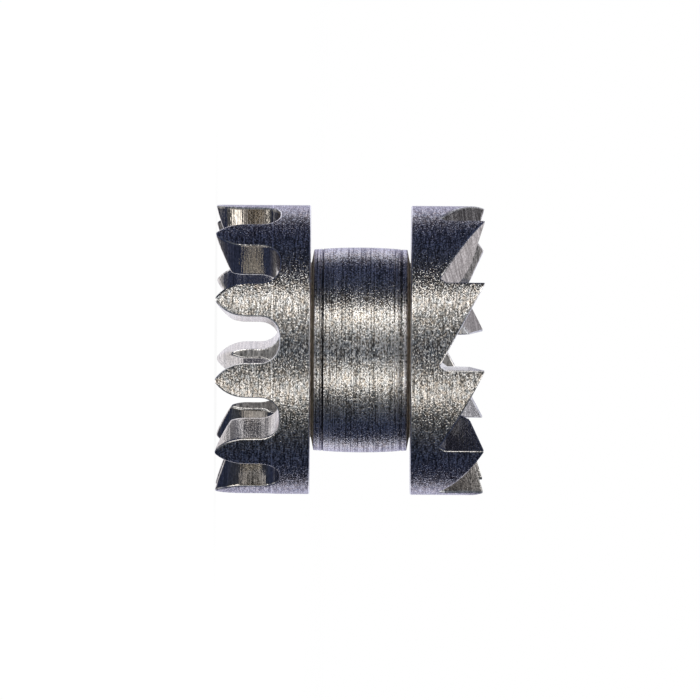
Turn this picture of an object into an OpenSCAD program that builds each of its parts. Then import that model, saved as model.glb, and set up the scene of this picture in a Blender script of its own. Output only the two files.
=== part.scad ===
// Sliding pinion (clutch wheel) of a watch's winding and setting work.
// One turned and milled steel piece: crown teeth at the bottom, a yoke groove
// round the middle, ratchet teeth at the top and a square bore for the stem.
// The axis is Z, and the part stands on the tips of its crown teeth at z = 0.
// All sizes are in millimetres.

/* [Rims] */
// Outside diameter over both toothed rims
rim_d = 2.20; // [2.0:0.05:2.6]
// Length of the crown rim, from its tooth tips to the groove
crown_rim_l = 0.72; // [0.70:0.005:0.95]
// Length of the ratchet rim, from the groove to its tooth tips
ratchet_rim_l = 0.56; // [0.53:0.005:0.75]
// Chamfer on the rim edges beside the groove
edge_break = 0.012; // [0.004:0.002:0.03]

/* [Yoke groove] */
// Width of the groove between the two rims
groove_w = 0.765; // [0.55:0.005:1.00]
// Diameter of the groove's core at the middle of its barrel shape
core_d = 1.56; // [1.45:0.01:1.70]
// Rise of the core's barrel shape from its ends to its middle
core_crown = 0.016; // [0.004:0.002:0.03]
// Chamfer on the core's two ends
core_edge = 0.026; // [0.01:0.002:0.05]
// Width of the V-shaped relief cut between the core and each rim, at its top
relief_w = 0.028; // [0.016:0.002:0.05]
// Width of the relief cut at its bottom
relief_root_w = 0.008; // [0.004:0.002:0.014]
// Depth of the relief cut below the core
relief_depth = 0.18; // [0.08:0.005:0.20]

/* [Crown teeth] */
// Number of crown teeth
crown_teeth = 11; // [9:1:13]
// Depth of the tooth spaces, from the tips to the round roots
crown_depth = 0.489; // [0.45:0.001:0.53]
// Width of a tooth space along its parallel sides
crown_space_w = 0.352; // [0.30:0.002:0.38]
// Radius of the two corners at the root of a tooth space
crown_root_r = 0.147; // [0.08:0.001:0.155]
// Radius of the pointed arch of each tooth
crown_arch_r = 0.28; // [0.26:0.005:0.34]
// Width of the land left on each tooth tip
crown_land = 0.010; // [0.004:0.002:0.03]
// Distance by which the middle of each tooth space misses the axis
crown_offset = 0.05; // [0:0.01:0.12]
// Radial thickness of the crown rim
crown_wall = 0.355; // [0.30:0.005:0.42]
// Depth of the recess inside the crown rim
crown_recess = 0.535; // [0.50:0.005:0.60]
// Angle of the first crown tooth about the axis
crown_phase = 282.5; // [0:0.1:360]

/* [Ratchet teeth] */
// Number of ratchet teeth
ratchet_teeth = 10; // [8:1:12]
// Depth of the ratchet teeth at the rim
ratchet_depth = 0.34; // [0.28:0.005:0.38]
// Width of the small flank at the foot of each upright face
ratchet_foot_w = 0.034; // [0.015:0.001:0.06]
// Height of that small flank
ratchet_foot_h = 0.045; // [0.02:0.005:0.08]
// Width of the land left on each tooth tip
ratchet_land = 0.010; // [0.006:0.002:0.03]
// Angle by which the tooth roots fall towards the rim
ratchet_tilt = 1.5; // [0:0.5:6]
// Distance by which the plane of each upright face misses the axis
ratchet_offset = 0.07; // [0:0.01:0.12]
// Radial thickness of the ratchet rim at the recess
ratchet_wall = 0.43; // [0.36:0.005:0.48]
// Chamfer round the mouth of the recess
ratchet_mouth = 0.17; // [0.10:0.005:0.24]
// Depth of the recess inside the ratchet rim
ratchet_recess = 0.395; // [0.38:0.005:0.42]
// Angle of the first ratchet tooth's upright face about the axis
ratchet_phase = 277.9; // [0:0.1:360]

/* [Stem bore] */
// Width across the flats of the square bore
square_w = 0.70; // [0.50:0.01:0.80]
// Width across the cut-off corners of the square bore
square_corner_d = 0.93; // [0.78:0.01:0.98]
// Width of the countersink at both mouths of the bore
countersink_d = 1.04; // [0.98:0.01:1.15]

/* [Hidden] */
$fn = 96;

rim_r = rim_d / 2;
core_r = core_d / 2;
overall_l = crown_rim_l + groove_w + ratchet_rim_l;
groove_z = crown_rim_l;
ratchet_rim_z = crown_rim_l + groove_w;
bore_foot_z = crown_recess;
bore_head_z = overall_l - ratchet_recess;

// The core's barrel arc stands on the core's length and rise.
core_l = groove_w - 2 * relief_w;
barrel_r = (core_l * core_l / 4 + core_crown * core_crown) / (2 * core_crown);

// Half the pitch of the crown teeth, measured straight across at the rim
crown_half_pitch = rim_r * sin(180 / crown_teeth);
// Centres of the two arch circles that bound a tooth space
arch_x = crown_space_w / 2 + crown_arch_r;
arch_tip = arch_x - crown_half_pitch + crown_land / 2;
arch_z = sqrt(crown_arch_r * crown_arch_r - arch_tip * arch_tip);
crown_root_z = crown_depth - crown_root_r;
// Turn of a crown cut that sets it off the axis, but keeps its middle at the
// rim where the tooth's angle puts it
crown_turn = asin(crown_offset / rim_r);

// Turn of a ratchet cut that sets its upright face off the axis, but keeps
// that face's outer edge where the tooth's angle puts it
ratchet_turn = asin(ratchet_offset / rim_r);
// The previous tooth's tip, seen from a ratchet cut: across it and along it
ratchet_tip_angle = 360 / ratchet_teeth - ratchet_turn;
ratchet_tip_y = -rim_r * sin(ratchet_tip_angle);
ratchet_tip_x = rim_r * cos(ratchet_tip_angle);
// The tilted slope has less height to climb where that tip stands.
ratchet_climb = ratchet_depth - (rim_r - ratchet_tip_x) * tan(ratchet_tilt);

// Cuts start inside the recess and run out past the rim and the tips.
past = 0.1;
cut_start = rim_r / 5;
cut_l = rim_r + past - cut_start;

module crown_rim_profile() {
    polygon([
        [0, 0],
        [rim_r, 0],
        [rim_r, groove_z - edge_break],
        [rim_r - edge_break, groove_z],
        [0, groove_z]
    ]);
}

module ratchet_rim_profile() {
    polygon([
        [0, ratchet_rim_z],
        [rim_r - edge_break, ratchet_rim_z],
        [rim_r, ratchet_rim_z + edge_break],
        [rim_r, overall_l],
        [0, overall_l]
    ]);
}

// The groove's core: a chamfered barrel between two V-shaped relief cuts
module core_profile() {
    root_r = core_r - relief_depth;
    edge_r = core_r - core_edge;
    intersection() {
        polygon([
            [0, groove_z + relief_root_w],
            [root_r, groove_z + relief_root_w],
            [edge_r, groove_z + relief_w],
            [core_r, groove_z + relief_w + core_edge],
            [core_r, ratchet_rim_z - relief_w - core_edge],
            [edge_r, ratchet_rim_z - relief_w],
            [root_r, ratchet_rim_z - relief_root_w],
            [0, ratchet_rim_z - relief_root_w]
        ]);
        translate([core_r - barrel_r, groove_z + groove_w / 2])
            circle(barrel_r);
    }
}

// The turned blank, before any tooth is cut
module blank() {
    rotate_extrude()
        union() {
            crown_rim_profile();
            ratchet_rim_profile();
            core_profile();
            square([core_r - relief_depth, overall_l]);
        }
}

// Round recess inside the crown rim
module crown_recess_cut() {
    translate([0, 0, -past])
        cylinder(r = rim_r - crown_wall, h = crown_recess + past);
}

// Round recess inside the ratchet rim, with a wide chamfered mouth
module ratchet_recess_cut() {
    recess_r = rim_r - ratchet_wall;
    translate([0, 0, bore_head_z])
        cylinder(r = recess_r, h = ratchet_recess + past);
    translate([0, 0, overall_l - ratchet_mouth])
        cylinder(r1 = recess_r, r2 = recess_r + ratchet_mouth + past, h = ratchet_mouth + past);
}

// Square bore with cut-off corners, countersunk where it opens into each recess
module stem_bore_cut() {
    sink_r = countersink_d / 2;
    sink_h = sink_r - square_w / 2;
    linear_extrude(height = overall_l)
        intersection() {
            square(square_w, center = true);
            circle(d = square_corner_d);
        }
    translate([0, 0, bore_foot_z])
        cylinder(r1 = sink_r, r2 = square_w / 2, h = sink_h);
    translate([0, 0, bore_head_z - sink_h])
        cylinder(r1 = square_w / 2, r2 = sink_r, h = sink_h);
}

// Outline of one crown tooth space, seen along its cut: a slot with a rounded
// root that flares between two arch circles towards the tips
module crown_space_profile() {
    half_w = crown_space_w / 2;
    mouth_w = 2 * (arch_x - arch_tip);
    root_x = half_w - crown_root_r;
    translate([-mouth_w / 2, -past])
        square([mouth_w, past]);
    difference() {
        translate([-arch_x, 0])
            square([2 * arch_x, arch_z]);
        for (side = [-1, 1])
            translate([side * arch_x, arch_z])
                circle(crown_arch_r);
    }
    translate([-half_w, arch_z])
        square([crown_space_w, crown_root_z - arch_z]);
    translate([-root_x, crown_root_z])
        square([2 * root_x, crown_root_r]);
    for (side = [-1, 1])
        translate([side * root_x, crown_root_z])
            circle(crown_root_r);
}

// One crown tooth space, milled straight through the rim along +X
module crown_space_cut() {
    translate([cut_start, crown_offset, 0])
        rotate([90, 0, 90])
            linear_extrude(height = cut_l)
                crown_space_profile();
}

// One ratchet space, milled along +X: an upright face with a small foot, and
// a slope that climbs to the previous tooth's tip
module ratchet_space_cut() {
    root_y = ratchet_offset - ratchet_foot_w;
    grade = ratchet_climb / (root_y - ratchet_tip_y - ratchet_land);
    cut_h = ratchet_depth + past;
    translate([rim_r, 0, overall_l - ratchet_depth])
        rotate([0, ratchet_tilt, 0])
            translate([cut_start - rim_r, 0, 0])
                rotate([90, 0, 90])
                    linear_extrude(height = cut_l)
                        polygon([
                            [ratchet_offset, cut_h],
                            [ratchet_offset, ratchet_foot_h],
                            [root_y, 0],
                            [root_y - cut_h / grade, cut_h]
                        ]);
}

module sliding_pinion() {
    color([0.60, 0.59, 0.56])
        difference() {
            blank();
            crown_recess_cut();
            ratchet_recess_cut();
            stem_bore_cut();
            for (i = [0 : crown_teeth - 1])
                rotate(crown_phase - crown_turn + (i + 0.5) * 360 / crown_teeth)
                    crown_space_cut();
            for (i = [0 : ratchet_teeth - 1])
                rotate(ratchet_phase - ratchet_turn + i * 360 / ratchet_teeth)
                    ratchet_space_cut();
        }
}

sliding_pinion();
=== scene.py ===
"""Looks of a watch's sliding pinion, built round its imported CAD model.

The pinion is one piece of steel, so its skin is one closed mesh. Three sectors are
worked out row by row: a crown tooth space, a ratchet tooth space and a quarter of the
square bore. Geometry Nodes repeat each sector round the axis, weld them along their
common circles and give every surface its finish.

Lengths are in millimetres until the finished skin is scaled to metres.
"""

import logging
import math
from collections.abc import Callable, Mapping, Sequence
from dataclasses import dataclass
from enum import Enum
from functools import cached_property
from itertools import product
from typing import Any

import bmesh
import bpy
import numpy as np
from mathutils import Matrix, Vector

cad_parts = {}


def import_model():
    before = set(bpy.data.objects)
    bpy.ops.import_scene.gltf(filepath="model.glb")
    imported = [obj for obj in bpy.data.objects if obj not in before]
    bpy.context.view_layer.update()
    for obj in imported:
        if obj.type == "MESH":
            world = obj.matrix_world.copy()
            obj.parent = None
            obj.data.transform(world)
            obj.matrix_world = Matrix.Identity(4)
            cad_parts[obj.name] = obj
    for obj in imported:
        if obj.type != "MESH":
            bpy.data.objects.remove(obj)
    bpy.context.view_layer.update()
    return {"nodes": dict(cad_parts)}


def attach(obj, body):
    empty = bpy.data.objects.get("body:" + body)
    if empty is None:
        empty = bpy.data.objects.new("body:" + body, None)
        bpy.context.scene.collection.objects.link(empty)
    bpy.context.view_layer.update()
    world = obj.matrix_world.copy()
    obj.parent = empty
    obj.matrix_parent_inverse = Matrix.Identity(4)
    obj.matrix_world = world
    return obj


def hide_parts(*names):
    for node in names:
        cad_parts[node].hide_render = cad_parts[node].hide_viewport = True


LOG = logging.getLogger("sliding_pinion")

MM = 0.001
# Columns of faces round the whole pinion: a multiple of both numbers of teeth and of
# the bore's four sides, so that all sectors share the same circles of points.
COLUMNS = 440
# Halvings after which a crossing is exact enough
HALVINGS = 48
Color = tuple[float, float, float, float]


class Surface(Enum):
    """Surfaces of the pinion, numbered as in the mesh's face attribute."""

    RIM = 0
    CORE = 1
    END_FACE = 2
    CROWN_FLANK = 3
    RATCHET_FLANK = 4
    RECESS = 5
    BORE = 6
    EDGE = 7
    RELIEF = 8
    RATCHET_FACE = 9


class Lay(Enum):
    """Direction in which the tool marks of a finish run."""

    ROUND_THE_AXIS = "round"
    RINGS = "rings"
    ALONG_THE_AXIS = "along"
    SLANTED = "slanted"


def polar(radius: np.ndarray | float, angle: np.ndarray, height: np.ndarray | float) -> np.ndarray:
    """Points from cylinder coordinates.

    Args:
        radius: Distance from the axis.
        angle: Angle about the axis, in radians.
        height: Height along the axis.

    Returns:
        One point per angle, as rows of x, y and z.
    """
    return np.column_stack(
        (radius * np.cos(angle), radius * np.sin(angle), np.broadcast_to(height, angle.shape))
    )


def turned(points: np.ndarray, angle: float) -> np.ndarray:
    """The points turned about the axis by an angle in radians."""
    c, s = math.cos(angle), math.sin(angle)
    return points @ np.array(((c, s, 0.0), (-s, c, 0.0), (0.0, 0.0, 1.0)))


def angles_of(points: np.ndarray) -> np.ndarray:
    """The points' angles about the axis, in radians."""
    return np.arctan2(points[:, 1], points[:, 0])


def root_between(
    function: Callable[[np.ndarray], np.ndarray], low: np.ndarray, high: np.ndarray
) -> np.ndarray:
    """Where a rising function crosses zero, found by halving.

    Args:
        function: Function of an array, rising between low and high.
        low: Values below the crossing.
        high: Values above it.

    Returns:
        The crossings.
    """
    low, high = np.array(low, float), np.array(high, float)
    for _ in range(HALVINGS):
        middle = (low + high) / 2
        above = function(middle) > 0
        high = np.where(above, middle, high)
        low = np.where(above, low, middle)
    return (low + high) / 2


def on_common_columns(first: float, count: int) -> np.ndarray:
    """Evenly spaced angles that lie on the columns that all sectors share.

    Args:
        first: Angle near which the row starts, in radians.
        count: Number of columns in the row.

    Returns:
        count + 1 angles.
    """
    step = 2 * math.pi / COLUMNS
    return (round(first / step) + np.arange(count + 1)) * step


def placed(name: str, data: bpy.types.ID) -> bpy.types.Object:
    """Makes an object and links it to the scene.

    Args:
        name: Name of the object.
        data: Its mesh, lamp or camera.

    Returns:
        The object, at the origin.
    """
    made = bpy.data.objects.new(name, data)
    bpy.context.scene.collection.objects.link(made)
    return made


class SectorGrid:
    """Rows of points across one sector, joined into strips of four-sided faces."""

    def __init__(self) -> None:
        """Starts with no rows."""
        self.rows: list[np.ndarray] = []
        self.surfaces: list[np.ndarray] = []

    def add(
        self,
        points: np.ndarray,
        surface: Surface,
        others: Mapping[Surface, Sequence[int]] | None = None,
    ) -> None:
        """Adds a row.

        Args:
            points: The row's points, from one side of the sector to the other.
            surface: Surface of the strip that ends at this row.
            others: Columns of that strip that have another surface.
        """
        strip = np.full(len(points) - 1, surface.value)
        for other, columns in (others or {}).items():
            strip[list(columns)] = other.value
        self.rows.append(points)
        self.surfaces.append(strip)

    def to_object(self, name: str) -> bpy.types.Object:
        """Makes a mesh object whose faces carry their surface's number.

        Args:
            name: Name of the object.

        Returns:
            The object, linked to the scene.
        """
        points = np.concatenate(self.rows)
        width = len(self.rows[0])
        corners = np.arange(len(points)).reshape(-1, width)
        low, high = corners[:-1], corners[1:]
        faces = np.stack((low[:, :-1], low[:, 1:], high[:, 1:], high[:, :-1]), -1)
        mesh = bpy.data.meshes.new(name)
        mesh.from_pydata(points.tolist(), [], faces.reshape(-1, 4).tolist())
        mark = mesh.attributes.new("surface", "INT", "FACE")
        mark.data.foreach_set("value", np.concatenate(self.surfaces[1:]).astype(np.int32))
        return placed(name, mesh)


@dataclass(frozen=True)
class ToolLine:
    """A fine line that the turning tool left on the core.

    Attributes:
        place: Distance from the middle of the waist.
        width: Width of the line.
        depth: Depth of the line.
    """

    place: float
    width: float
    depth: float


@dataclass(frozen=True)
class Blank:
    """The turned blank: two rims and the grooved waist between them."""

    rim_r: float = 1.10
    crown_rim_l: float = 0.72
    ratchet_rim_l: float = 0.56
    edge_break: float = 0.008
    groove_w: float = 0.765
    core_r: float = 0.78
    core_crown: float = 0.016
    core_edge: float = 0.018
    relief_w: float = 0.028
    relief_root_w: float = 0.008
    relief_depth: float = 0.115
    core_rows: int = 12

    # Steps of the rounding at the core's ends and at the rims' edges, in degrees
    CORE_BENDS = (30, 55, 75, 90)
    RIM_BENDS = (22, 45, 68, 90)
    # Rows on the end face of a rim, and how far short of its edge they stop
    FACE_ROWS = 4
    FACE_MARGIN = 0.01

    @cached_property
    def ratchet_rim_z(self) -> float:
        """Height at which the ratchet rim starts."""
        return self.crown_rim_l + self.groove_w

    @cached_property
    def overall_l(self) -> float:
        """Height of the whole pinion."""
        return self.ratchet_rim_z + self.ratchet_rim_l

    @cached_property
    def waist_z(self) -> float:
        """Height of the middle of the waist."""
        return self.crown_rim_l + self.groove_w / 2

    def core_radius(self, away: np.ndarray) -> np.ndarray:
        """The barrel-shaped core's radius.

        Args:
            away: Distances from the waist's middle.

        Returns:
            The radii there.
        """
        half = self.groove_w / 2 - self.relief_w
        barrel_r = (half**2 + self.core_crown**2) / (2 * self.core_crown)
        return self.core_r - barrel_r + np.sqrt(barrel_r**2 - away**2)

    def half_waist(self, lines: Sequence[ToolLine]) -> list[tuple[float, float, Surface]]:
        """Outline of half the waist, from its middle to the edge of a rim.

        Args:
            lines: Tool lines on this half of the core.

        Returns:
            Radius, distance from the waist's middle, and the surface that ends there.
        """
        wall = self.groove_w / 2
        core_end = wall - self.relief_w
        rows = np.linspace(0, core_end - self.core_edge, self.core_rows + 1)
        places = {float(x): 0.0 for x in rows}
        for line in lines:
            start, end = line.place - line.width / 2, line.place + line.width / 2
            places = {x: depth for x, depth in places.items() if not start <= x <= end}
            places |= {start: 0.0, line.place: line.depth, end: 0.0}
        outline = [
            (float(self.core_radius(np.array(x))) - depth, x, Surface.CORE)
            for x, depth in sorted(places.items())
        ]
        relief_r = self.core_r - self.relief_depth
        start_r = outline[-1][0]
        drop = start_r - self.core_r + self.core_edge
        for bend in np.radians(self.CORE_BENDS):
            place = core_end - self.core_edge * (1 - math.sin(bend))
            outline.append((start_r - drop * (1 - math.cos(bend)), place, Surface.CORE))
        outline += [
            (relief_r, wall - self.relief_root_w, Surface.RELIEF),
            (relief_r, wall, Surface.RELIEF),
            (self.core_r - self.core_edge, wall, Surface.RELIEF),
        ]
        rim_edge = self.rim_r - self.edge_break
        face = np.linspace(self.core_r, rim_edge - self.FACE_MARGIN, self.FACE_ROWS)
        outline += [(float(r), wall, Surface.END_FACE) for r in (*face, rim_edge)]
        for bend in np.radians(self.RIM_BENDS):
            away = wall + self.edge_break * (1 - math.cos(bend))
            outline.append((rim_edge + self.edge_break * math.sin(bend), away, Surface.EDGE))
        return outline


@dataclass(frozen=True)
class ToothedRim:
    """What both toothed rims share.

    Attributes:
        blank: Blank that the teeth are cut into.
        teeth: Number of teeth.
        offset: Distance by which a cut's line misses the axis.
        wall: Thickness of the rim at the recess.
        edge: How far the edges are rounded.
    """

    blank: Blank
    teeth: int
    offset: float
    wall: float
    edge: float = 0.010

    # Shares of the way from the rim to the recess at which rows cross the teeth
    ACROSS = (0.028, 0.07, 0.2, 0.4, 0.6, 0.8, 0.93, 0.972)
    # Shares of the way from the teeth down to the plain part of the rim
    DOWN = (0.04, 0.12, 0.24, 0.38, 0.54, 0.7, 0.85)
    # Shares of the way down the wall of the recess
    WALL_SHARES = (0.2, 0.5, 0.8, 1.0)
    # Share of the sharp edge in the middle of a rounded one
    SHARP_SHARE = 0.414

    @cached_property
    def pitch(self) -> float:
        """Angle from one tooth to the next, in radians."""
        return 2 * math.pi / self.teeth

    @cached_property
    def turn(self) -> float:
        """Angle at which a cut's line meets the rim, seen from the cut."""
        return math.asin(self.offset / self.blank.rim_r)

    @cached_property
    def inner_r(self) -> float:
        """Radius of the recess."""
        return self.blank.rim_r - self.wall

    def waist_rows(
        self,
        grid: SectorGrid,
        lines: Sequence[ToolLine],
        side: int,
        even: np.ndarray,
        spread: np.ndarray,
    ) -> None:
        """Adds the rows from the middle of the waist to the rim's edge.

        Args:
            grid: Grid that takes the rows.
            lines: Tool lines on this half of the core.
            side: -1 below the middle of the waist and 1 above it.
            even: Evenly spaced angles, for the core.
            spread: Angles that suit the teeth, for the rim.
        """
        relief_r = self.blank.core_r - self.blank.relief_depth
        wall = self.blank.groove_w / 2
        for radius, away, surface in self.blank.half_waist(lines):
            share = (radius - relief_r) / (self.blank.rim_r - relief_r) if away >= wall else 0.0
            angle = even + (spread - even) * share
            grid.add(polar(radius, angle, self.blank.waist_z + side * away), surface)

    def rounded(self, sharp: np.ndarray, one: np.ndarray, other: np.ndarray) -> np.ndarray:
        """Middle of a rounded edge between two rows, pulled back from the sharp edge."""
        return self.SHARP_SHARE * sharp + (1 - self.SHARP_SHARE) / 2 * (one + other)


@dataclass(frozen=True)
class CrownWheel(ToothedRim):
    """The crown rim: pointed teeth that face down, and the recess inside them."""

    teeth: int = 11
    depth: float = 0.489
    space_w: float = 0.352
    root_r: float = 0.147
    arch_r: float = 0.28
    land: float = 0.010
    offset: float = 0.05
    wall: float = 0.355
    recess: float = 0.535
    phase: float = 282.5
    floor_r: float = 0.60
    nose_r: float = 0.042

    ROOT_STEPS = 6
    SIDE_STEPS = 2
    ARCH_STEPS = 7
    NOSE_STEPS = 4
    # Half-widths of a space between which its ridge lies
    RIDGE_LIMITS = (0.05, 0.4)
    # How far the columns of a root draw together on the plain rim
    ROOT_DRAW = 0.98
    # Shares of the way across the floor of the recess
    FLOOR_SHARES = (0.08, 0.4, 0.7, 1.0)

    @cached_property
    def arch(self) -> tuple[float, float]:
        """Centre of the arch circle beside a space.

        Returns:
            Its distance across the space, and its height.
        """
        across = self.space_w / 2 + self.arch_r
        tip = across - self.blank.rim_r * math.sin(self.pitch / 2) + self.land / 2
        return across, math.sqrt(self.arch_r**2 - tip**2)

    @cached_property
    def stretch(self) -> float:
        """Lengthening of the arch that brings its rounded nose back to the tips' height.

        Returns:
            The factor by which it is longer.
        """
        across, height = self.arch
        beside = across - self.ridge(0)
        reach = self.arch_r - self.nose_r
        return height / (math.sqrt(reach**2 - beside**2) + self.nose_r)

    def along(self, across: np.ndarray, share: float) -> np.ndarray:
        """Distance along the cut, on the way from the rim to the recess.

        Args:
            across: Distances across the space.
            share: Share of the way.

        Returns:
            The distances along the cut.
        """
        y = self.offset + across
        outer = np.sqrt(self.blank.rim_r**2 - y**2)
        inner = np.sqrt(self.inner_r**2 - y**2)
        return outer + (inner - outer) * share

    def ridge(self, share: float) -> float:
        """Half-width of a space at the ridge where it meets the next space.

        Args:
            share: Share of the way from the rim to the recess.

        Returns:
            The half-width.
        """
        half = self.pitch / 2

        def beyond(width: np.ndarray) -> np.ndarray:
            """How far the line where two spaces meet lies beyond this row."""
            meeting = width / math.tan(half) - self.offset * math.tan(half)
            return meeting - self.along(width, share)

        low, high = (np.array(limit) for limit in self.RIDGE_LIMITS)
        return float(root_between(beyond, low, high))

    def half_outline(self, ridge_w: float) -> tuple[np.ndarray, np.ndarray]:
        """Half the outline of a tooth space, from the middle of its root to the ridge.

        Args:
            ridge_w: Half-width of the space at the ridge.

        Returns:
            Points (across, height), and directions into the metal.
        """
        half_w, (arch_x, arch_z) = self.space_w / 2, self.arch
        root_x, root_z = half_w - self.root_r, self.depth - self.root_r
        bend = np.linspace(math.pi / 2, 0, self.ROOT_STEPS + 1)
        root_n = np.column_stack((np.cos(bend), np.sin(bend)))
        side_z = np.linspace(root_z, arch_z, self.SIDE_STEPS + 1)[1:]
        beside = arch_x - ridge_w
        nose_r = min(self.nose_r, (self.arch_r - beside) / 2)
        reach = self.arch_r - nose_r
        lean_end = math.acos(beside / reach)
        nose_z = arch_z - reach * math.sin(lean_end)
        lean = np.linspace(0, lean_end, self.ARCH_STEPS + 1)[1:]
        arch_n = np.column_stack((np.cos(lean), np.sin(lean)))
        bow = np.linspace(lean_end, math.pi / 2, self.NOSE_STEPS + 1)[1:]
        nose_n = np.column_stack((np.cos(bow), np.sin(bow)))
        points = np.concatenate(
            (
                [(0.0, self.depth)],
                (root_x, root_z) + self.root_r * root_n,
                np.column_stack((np.full(self.SIDE_STEPS, half_w), side_z)),
                (arch_x, arch_z) - self.arch_r * arch_n,
                (ridge_w, nose_z) - nose_r * nose_n,
            )
        )
        beyond = points[:, 1] < arch_z
        points[beyond, 1] = arch_z - (arch_z - points[beyond, 1]) * self.stretch
        points[:, 1] = np.maximum(points[:, 1], 0.0)
        side_n = np.tile((1.0, 0.0), (self.SIDE_STEPS, 1))
        return points, np.concatenate(([(0.0, 1.0)], root_n, side_n, arch_n, nose_n))

    def outline(self, share: float) -> tuple[np.ndarray, np.ndarray]:
        """The whole outline of a tooth space, from ridge to ridge.

        Args:
            share: Share of the way from the rim to the recess.

        Returns:
            Points (across, height), and directions into the metal.
        """
        points, normals = self.half_outline(self.ridge(share))
        mirror = np.array((-1.0, 1.0))
        whole = np.concatenate((points[:0:-1] * mirror, points))
        return whole, np.concatenate((normals[:0:-1] * mirror, normals))

    def closed(self, row: np.ndarray) -> np.ndarray:
        """Moves a row's first point to where the previous sector's row ends.

        Args:
            row: Row of points over a tooth space.

        Returns:
            The row, with its first points drawn along.
        """
        row = row.copy()
        start = turned(row[-1:], -self.pitch)[0]
        steps = self.ARCH_STEPS + self.NOSE_STEPS + 1
        fade = np.linspace(1, 0, steps)[:, None] ** 2
        row[:steps] += (start - row[0]) * fade
        return row

    def flank_row(self, share: float) -> np.ndarray:
        """Row of points across a tooth space's flanks and root.

        Args:
            share: Share of the way from the rim to the recess.

        Returns:
            The points.
        """
        points, _ = self.outline(share)
        across, height = points.T
        row = np.column_stack((self.along(across, share), self.offset + across, height))
        return self.closed(row)

    def wall_row(self, share: float, radius: float) -> np.ndarray:
        """Row on a wall, one edge's rounding away from the tooth space.

        Args:
            share: 0 for the rim and 1 for the recess.
            radius: Radius of that wall.

        Returns:
            The points.
        """
        points, normals = self.outline(share)
        across, height = (points + self.edge * normals).T
        y = self.offset + across
        return self.closed(np.column_stack((np.sqrt(radius**2 - y**2), y, height)))

    def spread(self, row: np.ndarray) -> np.ndarray:
        """Angles for the plain part of the rim beside the teeth.

        Args:
            row: Row that follows the teeth.

        Returns:
            One angle per point of the row.
        """
        angle = angles_of(row)
        middle = self.ROOT_STEPS + 1
        centre = (len(angle) - 1) // 2
        ends = self.turn + np.array((-0.5, 0.5)) * self.pitch
        low, high = centre - middle, centre + middle
        near = self.turn + self.ROOT_DRAW * (angle[low : high + 1] - self.turn)
        before = np.linspace(ends[0], near[0], low + 1)[:-1]
        after = np.linspace(near[-1], ends[1], low + 1)[1:]
        return np.concatenate((before, near, after))

    def sector(self, lines: Sequence[ToolLine]) -> bpy.types.Object:
        """Builds one sector, from the middle of the waist over the teeth to the recess floor.

        Args:
            lines: Tool lines on the core's lower half.

        Returns:
            The sector's object.
        """
        grid, blank = SectorGrid(), self.blank
        cut = math.radians(self.phase) - self.turn + self.pitch / 2
        columns = COLUMNS // self.teeth
        outer, inner = self.wall_row(0, blank.rim_r), self.wall_row(1, self.inner_r)
        even = on_common_columns(cut + self.turn - self.pitch / 2, columns) - cut
        spread, inner_spread = self.spread(outer), self.spread(inner)
        self.waist_rows(grid, lines, -1, even, spread)
        foot_z = blank.crown_rim_l - blank.edge_break
        for share in reversed(self.DOWN):
            angle = angles_of(outer) * (1 - share) + spread * share
            height = outer[:, 2] * (1 - share) + foot_z * share
            grid.add(polar(blank.rim_r, angle, height), Surface.RIM)
        grid.add(outer, Surface.RIM)
        flanks = [self.flank_row(share) for share in self.ACROSS]
        grid.add(self.rounded(self.flank_row(0), outer, flanks[0]), Surface.EDGE)
        grid.add(flanks[0], Surface.EDGE)
        for row in flanks[1:]:
            grid.add(row, Surface.CROWN_FLANK)
        grid.add(self.rounded(self.flank_row(1), inner, flanks[-1]), Surface.EDGE)
        grid.add(inner, Surface.EDGE)
        for share in self.WALL_SHARES:
            angle = angles_of(inner) * (1 - share) + inner_spread * share
            height = inner[:, 2] * (1 - share) + self.recess * share
            grid.add(polar(self.inner_r, angle, height), Surface.RECESS)
        for share in self.FLOOR_SHARES:
            angle = inner_spread * (1 - share) + even * share
            radius = self.inner_r + (self.floor_r - self.inner_r) * share
            grid.add(polar(radius, angle, self.recess), Surface.RECESS)
        grid.rows = [turned(row, cut) for row in grid.rows]
        return grid.to_object("crown_sector")


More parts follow.
